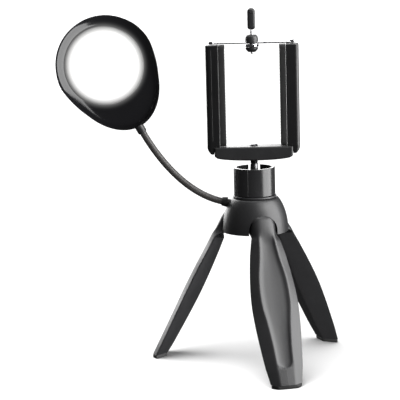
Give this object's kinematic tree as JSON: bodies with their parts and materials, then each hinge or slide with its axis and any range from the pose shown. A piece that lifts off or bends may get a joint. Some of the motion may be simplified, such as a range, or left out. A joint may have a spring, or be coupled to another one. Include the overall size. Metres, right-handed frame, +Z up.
{
  "type": "ring light phone stand",
  "caption": "Folding mini tripod with a panning ball head, sprung phone clamp locked by a thumb screw, and a round lit lamp head on a bendable neck.",
  "frame": {"origin": "middle of the footprint box, on the floor that the three feet stand on", "axes": "+Z up along the pan axis, -Y towards the front, where the lamp faces, +X to the right as seen from the front"},
  "size_m": [0.2268, 0.1568, 0.2895],
  "materials": {
    "battery_foil": "foil pouch",
    "black_rubber": "matte black rubber",
    "brass": "turned brass",
    "bright_chrome": "polished chrome",
    "circuit_board": "white solder mask",
    "dark_nylon": "self-coloured nylon",
    "gloss_black_plastic": "polished black",
    "led_phosphor": "yellow phosphor ring",
    "matte_black_plastic": "matte moulded black ABS",
    "neck_sleeve": "ribbed dark grey-brown neck sleeve",
    "nickel_steel": "nickel-plated steel",
    "opal_diffuser": "opal white diffuser, lit",
    "satin_black_plastic": "satin moulded black ABS",
    "white_plastic": "white reflector plastic"
  },
  "bodies": {
    "root": {"hinge_pin_front": "nickel_steel", "hinge_pin_left": "nickel_steel", "hinge_pin_right": "nickel_steel", "hub_cap": "matte_black_plastic", "hub_carrier": "matte_black_plastic", "hub_shell": "satin_black_plastic", "neck_grommet": "black_rubber", "neck_root": "neck_sleeve", "pan_bolt": "nickel_steel", "pan_nut": "nickel_steel", "pan_washer": "dark_nylon"},
    "leg_front": {"foot_front": "black_rubber", "leg_front_cover": "matte_black_plastic", "leg_front_shell": "satin_black_plastic"},
    "leg_right": {"foot_right": "black_rubber", "leg_right_cover": "matte_black_plastic", "leg_right_shell": "satin_black_plastic"},
    "leg_left": {"foot_left": "black_rubber", "leg_left_cover": "matte_black_plastic", "leg_left_shell": "satin_black_plastic"},
    "head": {"pan_drum": "satin_black_plastic", "ball_seat": "dark_nylon", "ball_collar": "matte_black_plastic"},
    "ball": {"ball_stud": "nickel_steel"},
    "clamp": {"clamp_bar": "satin_black_plastic", "stem_insert": "brass"},
    "jaw_left": {"jaw_left_arm": "matte_black_plastic", "jaw_left_pad": "black_rubber", "jaw_left_rail": "nickel_steel", "jaw_left_spring": "nickel_steel", "jaw_left_wire": "bright_chrome", "wire_clip_left": "nickel_steel"},
    "jaw_right": {"jaw_right_arm": "matte_black_plastic", "jaw_right_pad": "black_rubber", "jaw_right_rail": "nickel_steel", "jaw_right_spring": "nickel_steel", "jaw_right_wire": "bright_chrome", "wire_clip_right": "nickel_steel"},
    "knuckle": {"knuckle_cap": "satin_black_plastic", "knuckle_band": "bright_chrome", "knuckle_base": "satin_black_plastic"},
    "thumb_screw": {"thumb_screw": "nickel_steel", "thumb_grip": "satin_black_plastic"},
    "neck_lower": {"neck_lower": "neck_sleeve"},
    "neck_middle": {"neck_middle": "neck_sleeve"},
    "neck_upper": {"neck_upper": "neck_sleeve"},
    "lamp": {"battery": "battery_foil", "control_board": "circuit_board", "diffuser": "opal_diffuser", "lamp_bezel": "gloss_black_plastic", "lamp_ferrule": "satin_black_plastic", "lamp_rear_shell": "gloss_black_plastic", "led_board": "circuit_board", "led_ring": "led_phosphor", "reflector_ring": "white_plastic", "usb_socket": "nickel_steel"},
    "power_button": {"power_button": "matte_black_plastic"}
  },
  "joints": [
    {"name": "leg_front_fold", "type": "hinge", "parent": "root", "child": "leg_front", "pos_m": [0.04886, -0.00636, 0.113], "axis": [0.9659, 0.2588, 0], "range_deg": [0, 35]},
    {"name": "leg_right_fold", "type": "hinge", "parent": "root", "child": "leg_right", "pos_m": [0.05626, 0.02124, 0.113], "axis": [-0.7071, 0.7071, 0], "range_deg": [0, 35]},
    {"name": "leg_left_fold", "type": "hinge", "parent": "root", "child": "leg_left", "pos_m": [0.02865, 0.01385, 0.113], "axis": [-0.2588, -0.9659, 0], "range_deg": [0, 35]},
    {"name": "head_pan", "type": "hinge", "parent": "root", "child": "head", "pos_m": [0.04459, 0.00958, 0.139], "axis": [0, 0, 1], "continuous": true},
    {"name": "ball_tilt", "type": "hinge", "parent": "head", "child": "ball", "pos_m": [0.04459, 0.00958, 0.1504], "axis": [-1, 0, 0], "range_deg": [0, 30]},
    {"name": "clamp_spin", "type": "hinge", "parent": "ball", "child": "clamp", "pos_m": [0.04459, 0.00958, 0.1709], "axis": [0, 0, 1], "continuous": true},
    {"name": "jaw_left_slide", "type": "slide", "parent": "clamp", "child": "jaw_left", "axis": [-1, 0, 0], "range_m": [0, 0.021], "stiffness_N_per_m": 200, "springref_m": -0.01, "deforming": ["jaw_left_spring"]},
    {"name": "jaw_right_slide", "type": "slide", "parent": "clamp", "child": "jaw_right", "axis": [1, 0, 0], "range_m": [0, 0.021], "stiffness_N_per_m": 200, "springref_m": -0.01, "deforming": ["jaw_right_spring"]},
    {"name": "knuckle_slide", "type": "slide", "parent": "clamp", "child": "knuckle", "axis": [1, 0, 0], "range_m": [-0.006, 0.006]},
    {"name": "thumb_screw_turn", "type": "hinge", "parent": "knuckle", "child": "thumb_screw", "pos_m": [0.04459, 0.00958, 0.265], "axis": [0, 0, 1], "range_deg": [0, 360]},
    {"name": "neck_swing", "type": "hinge", "parent": "root", "child": "neck_lower", "pos_m": [0.01276, 0.00958, 0.13541], "axis": [0.3206, 0, 0.9472], "range_deg": [-45, 45]},
    {"name": "neck_lower_bend", "type": "hinge", "parent": "neck_lower", "child": "neck_middle", "pos_m": [-0.00977, 0.00958, 0.14811], "axis": [0, -1, 0], "range_deg": [-4, 50]},
    {"name": "neck_upper_bend", "type": "hinge", "parent": "neck_middle", "child": "neck_upper", "pos_m": [-0.02867, 0.00958, 0.16741], "axis": [0, -1, 0], "range_deg": [-4, 45]},
    {"name": "lamp_nod", "type": "hinge", "parent": "neck_upper", "child": "lamp", "pos_m": [-0.04309, 0.00958, 0.18893], "axis": [0.87, 0, 0.493], "range_deg": [-55, 55]},
    {"name": "power_button_press", "type": "slide", "parent": "lamp", "child": "power_button", "axis": [0, -1, 0], "range_m": [0, 0.0008], "stiffness_N_per_m": 500, "springref_m": -0.0006}
  ]
}
